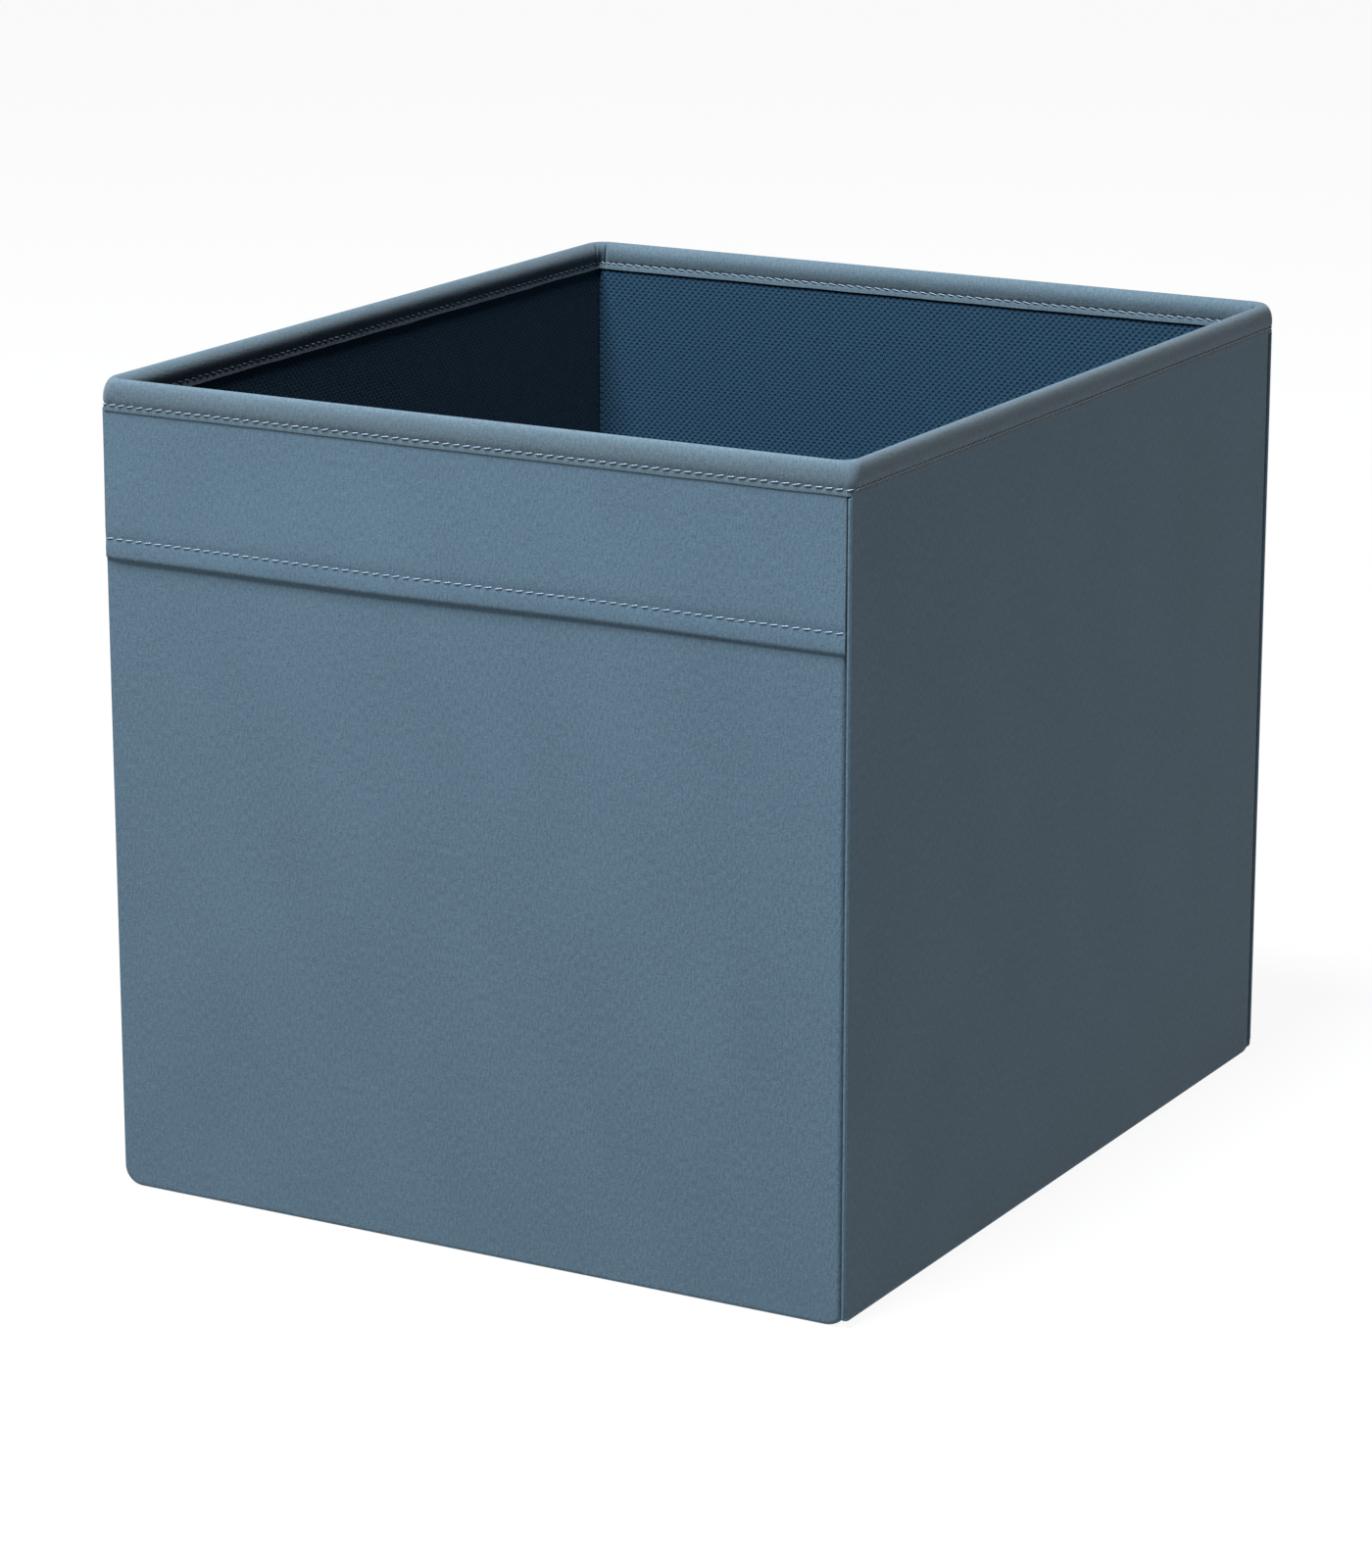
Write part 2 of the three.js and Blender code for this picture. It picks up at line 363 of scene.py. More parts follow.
def on_wall(wall, along, depth, height):
    """A pattern point of a wall as a place in the room."""
    x, y = along, depth - HALF_ACROSS[wall]
    for _ in range(WALLS.index(wall)):
        x, y = -y, x
    return Vector((x, y, height))


def front_layer(node):
    """How deep a front wall layer's outer and inner faces lie."""
    low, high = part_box(node)
    return low.y + DEPTH / 2, high.y + DEPTH / 2


COVER_FACE, COVER_BACK = front_layer("front_cover")
LINING_BACK, LINING_FACE = front_layer("front_lining")
CLOTH = COVER_BACK - COVER_FACE
print(f"cover at {COVER_FACE / MM:.1f} mm and lining at {LINING_FACE / MM:.1f} mm behind the outer plane")

# %% [markdown]
# ## From pattern to cloth
# A grid of quads is the plainest cloth mesh: rows and columns that are close together where the
# cloth bends and wide apart where it is flat. A Solidify modifier then gives it its real
# thickness and closes it, and is applied, so that the finished mesh is what moves.

# %% Mesh helpers
SHARP_EDGE = math.radians(40)


def new_piece(name, points, faces, uvs, material):
    """A smooth-shaded object from points and faces, with one UV per point."""
    mesh = bpy.data.meshes.new(name)
    mesh.from_pydata(points, [], faces)
    layer = mesh.uv_layers.new(name="pattern")
    for loop in mesh.loops:
        layer.data[loop.index].uv = uvs[loop.vertex_index]
    mesh.materials.append(material)
    mesh.shade_smooth()
    piece = bpy.data.objects.new(name, mesh)
    bpy.context.scene.collection.objects.link(piece)
    return piece


def thicken(piece, thickness):
    """Gives a one-layer cloth its thickness, on the side away from its face."""
    solidify = piece.modifiers.new("thickness", "SOLIDIFY")
    solidify.thickness = thickness
    solidify.offset = -1
    graph = bpy.context.evaluated_depsgraph_get()
    thick = bpy.data.meshes.new_from_object(
        piece.evaluated_get(graph), preserve_all_data_layers=True, depsgraph=graph
    )
    piece.modifiers.clear()
    thick.set_sharp_from_angle(angle=SHARP_EDGE)
    piece.data = thick
    return piece


def cloth_grid(name, columns, rows, place, material, thickness, facing_out=True):
    """A cloth whose corners are place(column, row). Columns and rows, in metres, are its UVs."""
    points = [place(u, v) for v in rows for u in columns]
    uvs = [(u, v) for v in rows for u in columns]
    across = len(columns)
    faces = []
    for j in range(len(rows) - 1):
        for i in range(across - 1):
            first = j * across + i
            quad = (first, first + 1, first + 1 + across, first + across)
            faces.append(quad if facing_out else quad[::-1])
    return thicken(new_piece(name, points, faces, uvs, material), thickness)


def tube_faces(first, rings, sides):
    """The faces of a tube of equal rings of points, numbered from first, with its ends closed."""
    faces = []
    for ring in range(rings - 1):
        for side in range(sides):
            here = first + ring * sides + side
            beside = first + ring * sides + (side + 1) % sides
            faces.append((here, here + sides, beside + sides, beside))
    last = first + (rings - 1) * sides
    faces.append(tuple(first + side for side in range(sides)))
    faces.append(tuple(last + side for side in reversed(range(sides))))
    return faces


def stations(low, high, low_steps, high_steps, spacing):
    """Places from low to high: given steps in from each end, and even spacing between them."""
    near = [low + step for step in low_steps]
    far = [high - step for step in reversed(high_steps)]
    count = math.ceil((far[0] - near[-1]) / spacing)
    between = [near[-1] + (far[0] - near[-1]) * k / count for k in range(1, count)]
    return near + between + far


def smoothstep(value, low, high):
    """0 below low, 1 above high, and a smooth rise between them."""
    t = min(1.0, max(0.0, (value - low) / (high - low)))
    return t * t * (3 - 2 * t)


def roll(distance, radius):
    """How far cloth has dropped at this distance from an edge that it rolls over."""
    inside = radius - max(0.0, min(distance, radius))
    return radius - math.sqrt(max(0.0, radius ** 2 - inside ** 2))


# %% [markdown]
# ## Boards
# Each wall is stiffened by a sheet of greyboard between its two cloths. It can't be seen on a
# closed bin, but a board with square corners would poke through the binding when a corner opens,
# so its corners are cut round. The columns near the ends are drawn in, row by row, so that the
# grid follows the round corners.

# %% Wall boards
SQUEEZE = 12 * MM
BOARD_CORNER = 10 * MM
BOARD_INSET = 0.8 * MM
BOARD_TOP = HEIGHT - 4 * MM
BOARD_SPACING = 40 * MM
BOARD_FACE, BOARD_BACK = front_layer("front_board")
BOARD_STEPS = [step * MM for step in (0, 0.4, 1.2, 2.4, 4.0, 6.0, 8.0, 10.0, 14.0)]


def corner_half_width(half, full_half, radius, up):
    """Half a panel's width, at a distance up from an edge whose two corners are rounded."""
    if up >= radius:
        return half
    return min(half, full_half - radius + math.sqrt(radius ** 2 - (radius - max(up, 0.0)) ** 2))


def squeeze_in(along, half, narrow):
    """Draws the last stretch of a row in, so that the row ends at narrow instead of half."""
    start = half - SQUEEZE
    if abs(along) <= start:
        return along
    return math.copysign(start + (abs(along) - start) * (narrow - start) / SQUEEZE, along)


def board_along(half, bottom, top, u, v):
    """Where a column of a board lies across it, inside its four round corners."""
    return squeeze_in(u, half, corner_half_width(half, half, BOARD_CORNER, min(v - bottom, top - v)))


for wall in WALLS:
    low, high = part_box(f"{wall}_board")
    half = max(high.x - low.x, high.y - low.y) / 2 - BOARD_INSET
    bottom = low.z + BOARD_INSET
    columns = stations(-half, half, BOARD_STEPS, BOARD_STEPS, BOARD_SPACING)
    rows = stations(bottom, BOARD_TOP, BOARD_STEPS, BOARD_STEPS, BOARD_SPACING)
    board = cloth_grid(
        f"{wall}_board_sheet", columns, rows,
        lambda u, v: on_wall(wall, board_along(half, bottom, BOARD_TOP, u, v), BOARD_FACE, v),
        greyboard, BOARD_BACK - BOARD_FACE,
    )
    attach(board, BODY[wall])
    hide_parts(f"{wall}_board")
    print(f"{board.name}: {2 * half / MM:.0f} x {(BOARD_TOP - bottom) / MM:.0f} mm")

# %% [markdown]
# ## Outer covers
# Each wall's cloth is pulled tight over its board. It rolls over the board's edges and into the
# corner seam, the lower corners are rounded, and the board shows through as a very slow
# waviness. At its right-hand end, seen from outside, each cover rolls deep and leaves a dark
# groove beside the corner welt. At its left-hand end it runs over the welt of the wall before.

# %% Covers
COVER_DEPTH = {"front": COVER_FACE, "right": 0.95 * MM, "back": COVER_FACE, "left": 0.95 * MM}
WELT_HALF_WIDTH = 0.7 * MM
WELT_HALF_DEPTH = 1.1 * MM
WELT_DEPTH = 1.9 * MM
GROOVE = 0.65 * MM
NEXT_WALL = dict(zip(WALLS, WALLS[1:] + WALLS[:1]))
WELT_INSET = {wall: COVER_DEPTH[NEXT_WALL[wall]] + CLOTH + WELT_HALF_WIDTH for wall in WALLS}
RIGHT_INSET = {wall: WELT_INSET[wall] + WELT_HALF_WIDTH + GROOVE for wall in WALLS}
LEFT_INSET = 0.85 * MM
GROOVE_ROLL = 1.7 * MM
CORNER_ROLL = 0.4 * MM
RIGHT_CORNER = {"front": 10.5 * MM, "right": 9 * MM, "back": 10.5 * MM, "left": 9 * MM}
LEFT_CORNER = {"front": 8.5 * MM, "right": 5 * MM, "back": 8.5 * MM, "left": 5 * MM}
BOTTOM_ROLL = 1.6 * MM
COVER_TOP = HEIGHT - 3 * MM
BOUND_INSET = 5 * MM
BOUND_FROM = HEIGHT - 12.5 * MM
WAVINESS = 0.3 * MM
CALM_EDGE = 40 * MM
COVER_SPACING = 8 * MM
EDGE_STEPS = [step * MM for step in (0, 0.12, 0.35, 0.7, 1.1, 1.5, 2.0, 3.0, 4.5, 7, 10, 14)]
BOUND_STEPS = [step * MM for step in (0, 4.0, 8.0, 8.5, 9.0, 9.5, 11.0)]


def waviness(wall, along, height):
    """The slow unevenness of cloth over board, as a depth."""
    return WAVINESS * noise.noise(Vector((along * 11, height * 8, 3.0 * WALLS.index(wall) + 0.5)))


def cover_place(wall, u, v):
    """Where a point of a wall's cover pattern lies. Below the bottom it turns under the board."""
    full_half = HALF_ALONG[wall]
    right_hand = u > 0
    half = full_half - (RIGHT_INSET[wall] if right_hand else LEFT_INSET)
    side_roll = GROOVE_ROLL if right_hand else CORNER_ROLL
    radius = RIGHT_CORNER[wall] if right_hand else LEFT_CORNER[wall]
    bottom = cover_bottom[wall]
    up = max(0.0, v - bottom)
    under_binding = BOUND_INSET * smoothstep(v, BOUND_FROM, BOUND_FROM + 1.5 * MM)
    narrow = min(corner_half_width(half, full_half, radius, up), full_half - under_binding)
    along = squeeze_in(u, half, narrow)
    past = abs(along) - (full_half - radius)
    to_corner = radius - math.hypot(max(0.0, past), max(0.0, radius - up))
    to_side = half - abs(along)
    drop = max(roll(to_side, side_roll), roll(to_corner, BOTTOM_ROLL))
    calm = smoothstep(min(to_side, to_corner, COVER_TOP - v), 0, CALM_EDGE)
    under = max(0.0, bottom - v)
    depth = COVER_DEPTH[wall] + drop + under + calm * waviness(wall, along, v)
    return on_wall(wall, along, depth, bottom + up)


cover_bottom = {wall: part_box(f"{wall}_cover")[0].z for wall in WALLS}
for wall in WALLS:
    left_end, right_end = LEFT_INSET - HALF_ALONG[wall], HALF_ALONG[wall] - RIGHT_INSET[wall]
    turn_under = LINING_FACE - COVER_DEPTH[wall] - BOTTOM_ROLL
    columns = stations(left_end, right_end, EDGE_STEPS, EDGE_STEPS, COVER_SPACING)
    rows = [cover_bottom[wall] - turn_under]
    rows += stations(cover_bottom[wall], COVER_TOP, EDGE_STEPS, BOUND_STEPS, COVER_SPACING)
    cover = cloth_grid(
        f"{wall}_cover_cloth", columns, rows, lambda u, v: cover_place(wall, u, v), outer_cloth, CLOTH
    )
    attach(cover, BODY[wall])
    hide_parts(f"{wall}_cover")

# %% [markdown]
# ## Linings
# The inside of each wall is one flat piece of the embossed sheet, with its side edges turned
# back into the corner. A narrow strip of the same sheet is sewn behind the two edges in each
# corner: it is what keeps the corner closed when the walls fold.

# %% Wall linings
LINING = 0.35 * MM
LINING_INSIDE = LINING_FACE - 0.1 * MM
LINING_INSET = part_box("front_lining")[0].x + WIDTH / 2
LINING_TOP = HEIGHT - 10.2 * MM
LINING_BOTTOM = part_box("base_lining")[0].z + 0.2 * MM
LINING_ROLL = 0.5 * MM
LINING_STEPS = [step * MM for step in (0, 0.15, 0.3, 0.5, 1.0, 3.0, 9.0)]
LINING_SPACING = 12 * MM


def lining_place(wall, u, v):
    """Where a point of a wall's lining pattern lies."""
    half = HALF_ALONG[wall] - LINING_INSET
    calm = smoothstep(min(half - abs(u), LINING_TOP - v, v), 0, CALM_EDGE)
    depth = LINING_INSIDE - roll(half - abs(u), LINING_ROLL) + 0.5 * calm * waviness(wall, -u, v)
    return on_wall(wall, u, depth, v)


for wall in WALLS:
    edge = HALF_ALONG[wall] - LINING_INSET
    columns = stations(-edge, edge, LINING_STEPS, LINING_STEPS, LINING_SPACING)
    rows = stations(LINING_BOTTOM, LINING_TOP, [0], [0], LINING_SPACING)
    lining = cloth_grid(
        f"{wall}_lining_cloth", columns, rows, lambda u, v: lining_place(wall, u, v),
        lining_cloth, LINING, facing_out=False,
    )
    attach(lining, BODY[wall])
    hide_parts(f"{wall}_lining")

# %% [markdown]
# ## Round a corner
# Binding, welts and corner strips run from one wall to the next. They are drawn by how far past
# the corner they are, and bent through a quarter circle whose radius can differ up the piece.
# Three corners are real fold lines, and the pieces there are made in one. The fourth
# is the corner where the ring of walls is opened for the joints: there each wall keeps its own
# half.

# %% Corners
CORNERS = (
    ("front_right", "front", "right"),
    ("back_right", "right", "back"),
    ("back_left", "back", "left"),
    ("front_left", "left", "front"),
)
OPEN_CORNER = "back_left"
CORNER_REACH = 14 * MM


def round_corner(before, after, x, depth, height, radius):
    """A point x past the corner between two walls, at a depth, bent with a plan radius."""
    if x <= -CORNER_REACH:
        return on_wall(before, HALF_ALONG[before] + x, depth, height)
    if x >= CORNER_REACH:
        return on_wall(after, x - HALF_ALONG[after], depth, height)
    middle = depth + radius
    straight = CORNER_REACH - middle
    bend = radius * math.pi / 2
    travelled = (x + CORNER_REACH) / (2 * CORNER_REACH) * (2 * straight + bend)
    if travelled < straight:
        inset, deep = CORNER_REACH - travelled, depth
    elif travelled > straight + bend:
        inset, deep = depth, middle + travelled - straight - bend
    else:
        angle = (travelled - straight) / radius
        inset, deep = middle - radius * math.sin(angle), middle - radius * math.cos(angle)
    return on_wall(before, HALF_ALONG[before] - inset, deep, height)


def corner_halves(corner, before, after, low, high):
    """The stretches that a corner's piece is made in: name ending, wall it rides on, low, high."""
    if corner == OPEN_CORNER:
        return (f"{corner}_on_{before}", before, low, 0.0), (f"{corner}_on_{after}", after, 0.0, high)
    return ((corner, None, low, high),)


def blend_corner(piece, before, after, inset, depth):
    """Works out a point on each wall, which nothing uses, and bakes the piece's transform into its mesh.
    """
    on_wall(before, HALF_ALONG[before] - inset, depth, 0)
    on_wall(after, inset - HALF_ALONG[after], depth, 0)
    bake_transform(piece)


# %% [markdown]
# ## Lining strips
# Each strip is bent through the corner behind the linings' edges. At the open corner it is made
# in two halves, each on its own wall.

# %% Lining strips in the corners
STRIP_HALF = 7 * MM
STRIP_DEPTH = LINING_BACK - 0.1 * MM
STRIP_TOP = LINING_TOP - 1 * MM
STRIP_BOTTOM = 4 * MM
STRIP_RADIUS = 1.0 * MM
STRIP_CLOTH = 0.2 * MM


def strip_cloth(name, before, after, low, high):
    """A corner strip. Its pattern is drawn at half its real width, from low to high."""
    columns = stations(low, high, [0], [0], 0.7 * MM)
    rows = stations(STRIP_BOTTOM, STRIP_TOP, [0], [0], 15 * MM)
    return cloth_grid(
        name, columns, rows,
        lambda x, v: round_corner(before, after, x * 2, STRIP_DEPTH, v, STRIP_RADIUS),
        lining_cloth, STRIP_CLOTH, facing_out=False,
    )


for corner, before, after in CORNERS:
    for ending, wall, low, high in corner_halves(corner, before, after, -STRIP_HALF, STRIP_HALF):
        strip = strip_cloth(f"lining_strip_{ending}", before, after, low, high)
        if wall:
            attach(strip, BODY[wall])
        else:
            blend_corner(strip, before, after, STRIP_HALF, STRIP_DEPTH)
print("lining strips made for", len(CORNERS), "corners")

# %% [markdown]
# ## Rim binding
# The rim is bound with a strip about 45 mm wide, folded over the top edges and sewn through all
# the layers. The seam pinches it in, so above the seam it swells like a thin tube and below it
# a narrow lip stands free. The cross-section is a short list of places that a smooth curve
# passes through, each with the plan radius that the strip has there as it goes round a corner.

# %% Binding section
BINDING = 0.3 * MM
STITCH_PITCH = (HALF_ALONG["front"] + HALF_ALONG["right"]) / 79
SECTION_KEYS = (  # depth behind the outer plane, height below the top, plan radius: millimetres
    (0.60, 12.6, 2.4),
    (0.58, 11.4, 2.5),
    (0.64, 10.2, 2.8),
    (0.34, 8.9, 3.4),
    (0.10, 6.0, 4.6),
    (0.42, 2.8, 6.0),
    (1.25, 0.7, 7.0),
    (2.45, 0.0, 7.4),
    (3.80, 0.6, 6.4),
    (5.00, 2.3, 4.6),
    (5.50, 4.4, 3.0),
    (5.34, 6.6, 1.9),
    (4.98, 8.4, 1.4),
    (4.78, 9.2, 1.3),
    (4.90, 10.0, 1.3),
    (5.02, 10.9, 1.3),
    (5.10, 11.8, 1.3),
)
OUTSIDE_SEAM_KEY, INSIDE_SEAM_KEY, CREST_KEY = 2, 13, 7


def through(keys, share):
    """A point on the smooth curve through the keys; share counts keys from the first."""
    index = min(int(share), len(keys) - 2)
    t = share - index
    before_key = keys[max(index - 1, 0)]
    after_key = keys[min(index + 2, len(keys) - 1)]
    point = []
    for p0, p1, p2, p3 in zip(before_key, keys[index], keys[index + 1], after_key):
        slope1, slope2 = (p2 - p0) / 2, (p3 - p1) / 2
        point.append(
            (2 * t ** 3 - 3 * t ** 2 + 1) * p1 + (t ** 3 - 2 * t ** 2 + t) * slope1
            + (3 * t ** 2 - 2 * t ** 3) * p2 + (t ** 3 - t ** 2) * slope2
        )
    return point


STEPS_PER_KEY = 2
section_shares = [k / STEPS_PER_KEY for k in range((len(SECTION_KEYS) - 1) * STEPS_PER_KEY + 1)]
section_lengths = [0.0]
for first, second in zip(section_shares, section_shares[1:]):
    start, end = through(SECTION_KEYS, first), through(SECTION_KEYS, second)
    section_lengths.append(section_lengths[-1] + math.hypot(end[0] - start[0], end[1] - start[1]) * MM)
share_at_length = dict(zip(section_lengths, section_shares))
print(f"the binding strip shows {section_lengths[-1] / MM:.0f} mm of its width")

# %% [markdown]
# The strip isn't perfect. Each needle hole pulls it in, the free lip wanders a little, the
# swelling varies, and inside each corner the spare cloth folds into two short puckers.

# %% Binding surface
PUCKER_SPREAD = 0.9 * MM
PUCKER_AT = 4.2 * MM
PUCKER_DEPTH = 1.0 * MM
SWELL_VARIES = 0.12 * MM
LIP_WANDER = 0.28 * MM
NEEDLE_PULL = 0.28 * MM
FINE_STEP = 0.4 * MM
FINE_COUNT = 18
FOLD_REACH = 10 * MM


def binding_place(corner, before, after, x, share):
    """Where a point of the binding lies: x past the corner, and share along the section."""
    depth, drop, radius = (value * MM for value in through(SECTION_KEYS, share))
    seed = 7.0 * WALLS.index(before)
    outside = share < CREST_KEY
    inward = 1 if outside else -1
    from_seam = min(abs(share - OUTSIDE_SEAM_KEY), abs(share - INSIDE_SEAM_KEY))
    holes = 0.5 + 0.5 * math.cos(2 * math.pi * x / STITCH_PITCH)
    depth += inward * NEEDLE_PULL * holes * max(0.0, 1 - from_seam)
    lip = max(0.0, 1 - share / 2, 1 - (len(SECTION_KEYS) - 1 - share) / 2.5)
    drop += LIP_WANDER * lip * noise.noise(Vector((x * 45, seed, share * 0.1)))
    swell = max(0.0, 1 - abs(share - 5) / 3, 1 - abs(share - 10) / 3)
    depth -= inward * SWELL_VARIES * swell * noise.noise(Vector((x * 60, seed + 3, share * 0.4)))
    if not outside:
        gather = smoothstep(share, CREST_KEY + 0.6, CREST_KEY + 2.6)
        gather *= 1 - 0.75 * smoothstep(share, INSIDE_SEAM_KEY + 0.5, INSIDE_SEAM_KEY + 2.5)
        for fold in (-PUCKER_AT, PUCKER_AT):
            depth -= PUCKER_DEPTH * gather * math.exp(-((x - fold) / PUCKER_SPREAD) ** 2)
    return round_corner(before, after, x, depth, HEIGHT - drop, radius)


def binding_columns(low, high):
    """Places along the binding: four to a stitch, and closer together near the corner."""
    count = round((high - low) / STITCH_PITCH * 4)
    even = [low + (high - low) * k / count for k in range(count + 1)]
    fine = [k * FINE_STEP for k in range(-FINE_COUNT, FINE_COUNT + 1)]
    reach = (FINE_COUNT + 1) * FINE_STEP
    return sorted([x for x in even if abs(x) > reach] + [x for x in fine if low <= x <= high])


for corner, before, after in CORNERS:
    ends = -HALF_ALONG[before], HALF_ALONG[after]
    for ending, wall, low, high in corner_halves(corner, before, after, *ends):
        columns = binding_columns(low, high)
        binding = cloth_grid(
            f"rim_binding_{ending}", columns, section_lengths,
            lambda x, v: binding_place(corner, before, after, x, share_at_length[v]),
            binding_cloth, BINDING,
        )
        if wall:
            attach(binding, BODY[wall])
            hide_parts(f"{wall}_rim_binding")
        else:
            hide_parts(f"{before}_rim_binding", f"{after}_rim_binding")
            blend_corner(binding, before, after, FOLD_REACH, 0)
        print(f"{binding.name}: {(high - low) / MM:.0f} mm long")

# %% [markdown]
# ## Stitches
# A lockstitch shows as short bars of thread that dive into a needle hole at each end and lie a
# little aslant. Each one is a small bent capsule. They are far too regular if left alone, so a
# seeded random generator varies their length and slant.

# %% Stitch helper
THREAD_RADIUS = 0.25 * MM
STITCH_SHARE = 0.82
STITCH_SLANT = math.tan(math.radians(9))
LENGTH_SPREAD = (0.94, 1.05)
SLANT_SPREAD = (0.6, 1.4)
LONG_STITCH_PITCH = 4.5 * MM
STITCH_RINGS = (-0.99, -0.9, -0.6, 0.0, 0.6, 0.9, 0.99)
THREAD_SIDES = 8


def stitch_mesh(name, seams, draws):
    """Bars of thread. Each seam is (middles of its stitches, pitch, place(along, across, lift))."""
    points, uvs, faces = [], [], []
    for middles, pitch, place in seams:
        for middle in middles:
            half = STITCH_SHARE * pitch / 2 * draws.uniform(*LENGTH_SPREAD)
            slant = STITCH_SLANT * draws.uniform(*SLANT_SPREAD)
            first = len(points)
            for t in STITCH_RINGS:
                thick = THREAD_RADIUS * math.sqrt(1 - t ** 4)
                lift = THREAD_RADIUS * (0.75 - 1.5 * t ** 4)
                for side in range(THREAD_SIDES):
                    angle = 2 * math.pi * side / THREAD_SIDES
                    across = slant * t * half + thick * math.cos(angle)
                    points.append(place(middle + t * half, across, lift + thick * math.sin(angle)))
                    uvs.append((t * half, THREAD_RADIUS * angle))
            faces += tube_faces(first, len(STITCH_RINGS), THREAD_SIDES)
    return new_piece(name, points, faces, uvs, sewing_thread)


# %% [markdown]
# ## The rim seam
# One row of lockstitch holds both legs of the binding to the wall, so the same pitch shows on the
# outside and on the inside.

# %% Rim stitches
thread_draws = random.Random(11)


def rim_seam(corner, before, after, low, high, key, lift_sign):
    """The stitches along one side of the rim, between two places past a corner."""
    depth, drop, radius = (value * MM for value in SECTION_KEYS[key])
    count = round((high - low) / STITCH_PITCH)
    middles = [low + (k + 0.5) * (high - low) / count for k in range(count)]

    def place(x, across, lift):
        return round_corner(before, after, x, depth + lift_sign * lift, HEIGHT - drop + across, radius)

    return middles, STITCH_PITCH, place


for corner, before, after in CORNERS:
    ends = -HALF_ALONG[before], HALF_ALONG[after]
    for ending, wall, low, high in corner_halves(corner, before, after, *ends):
        seams = [
            rim_seam(corner, before, after, low, high, OUTSIDE_SEAM_KEY, -1),
            rim_seam(corner, before, after, low, high, INSIDE_SEAM_KEY, 1),
        ]
        stitches = stitch_mesh(f"rim_stitches_{ending}", seams, thread_draws)
        if wall:
            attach(stitches, BODY[wall])
            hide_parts(f"{wall}_rim_thread")
        else:
            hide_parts(f"{before}_rim_thread", f"{after}_rim_thread")
            blend_corner(stitches, before, after, FOLD_REACH, 0)
        print(f"{stitches.name}: {sum(len(seam[0]) for seam in seams)} stitches")

# %% [markdown]
# ## Corner welts
# Each wall's cloth turns the corner by about two millimetres and is sewn down beside the wall
# before it. Seen from that wall it is a light, square-shouldered welt with a dark groove next to
# it, and from its own wall only its edge shows. A rounded bar swept up the corner gives both.
# Behind it a narrow web of cloth joins the two covers.

# %% Welts and webs
WELT_ROUND = 0.5 * MM
WELT_TOP = HEIGHT - 12.9 * MM
WELT_BOTTOM = {"front": 3.0 * MM, "right": 3.4 * MM, "back": 3.0 * MM, "left": 4.2 * MM}
WELT_SLOPE = 0.55
WELT_END = 6 * MM
WELT_ENDS = ((0.0, 0.35), (0.15, 0.7), (0.5, 0.93), (1.0, 1.0))  # millimetres from the end, thickness
WELT_CORNER_STEPS = 4
WEB_CLOTH = 0.2 * MM
WEB_BEHIND = (3.0 * MM, 3.7 * MM)
WEB_STEPS = 8


def rounded_bar(half_width, half_depth, radius, steps):
    """Points round an oblong with rounded corners, anticlockwise."""
    points = []
    for quarter in range(4):
        for step in range(steps + 1):
            angle = math.pi / 2 * (quarter + step / steps)
            corner_x = (half_width - radius) * (1 if quarter in (0, 3) else -1)
            corner_y = (half_depth - radius) * (1 if quarter in (0, 1) else -1)
            points.append((corner_x + radius * math.cos(angle), corner_y + radius * math.sin(angle)))
    return points


def welt_mesh(name, before):
    """A rounded bar swept up the corner after a wall, with softened ends."""
    outline = rounded_bar(WELT_HALF_WIDTH, WELT_HALF_DEPTH, WELT_ROUND, WELT_CORNER_STEPS)
    bottom = WELT_BOTTOM[before]
    levels = [(bottom + rise * MM, share) for rise, share in WELT_ENDS]
    for height in stations(bottom + WELT_END, WELT_TOP - WELT_END, [0], [0], 8 * MM):
        levels.append((height, 1.0))
    levels += [(WELT_TOP - rise * MM, share) for rise, share in reversed(WELT_ENDS)]
    points, uvs = [], []
    sides = len(outline)
    for height, share in levels:
        bulge = share + 0.05 * noise.noise(Vector((height * 70, 2.5 * WALLS.index(before), 1.5)))
        for side, (x, y) in enumerate(outline):
            inset, depth = WELT_INSET[before] - x * bulge, WELT_DEPTH - y * bulge
            low_end = 1 - smoothstep(height, bottom, bottom + WELT_END)
            lifted = height + WELT_SLOPE * (x + WELT_HALF_WIDTH) * low_end
            points.append(on_wall(before, HALF_ALONG[before] - inset, depth, lifted))
            uvs.append((side * 4 * (WELT_HALF_WIDTH + WELT_HALF_DEPTH) / sides, height))
    return new_piece(name, points, tube_faces(0, len(levels), sides), uvs, outer_cloth)


def web_mesh(name, before, path):
    """A narrow upright web of cloth that follows a short path in the corner's plan."""
    lengths = [0.0]
    for (x0, y0), (x1, y1) in zip(path, path[1:]):
        lengths.append(lengths[-1] + math.hypot(x1 - x0, y1 - y0))
    place_at = dict(zip(lengths, path))

    def place(u, v):
        inset, depth = place_at[u]
        return on_wall(before, HALF_ALONG[before] - inset, depth, v)

    rows = stations(WELT_BOTTOM[before] + 1 * MM, WELT_TOP - 1 * MM, [0], [0], 20 * MM)
    return cloth_grid(name, lengths, rows, place, outer_cloth, WEB_CLOTH)


def curve_between(start, middle, end, steps):
    """Points on the parabola that leaves start for middle and arrives at end."""
    points = []
    for k in range(steps + 1):
        t = k / steps
        points.append(tuple(
            (1 - t) ** 2 * a + 2 * t * (1 - t) * b + t ** 2 * c for a, b, c in zip(start, middle, end)
        ))
    return points


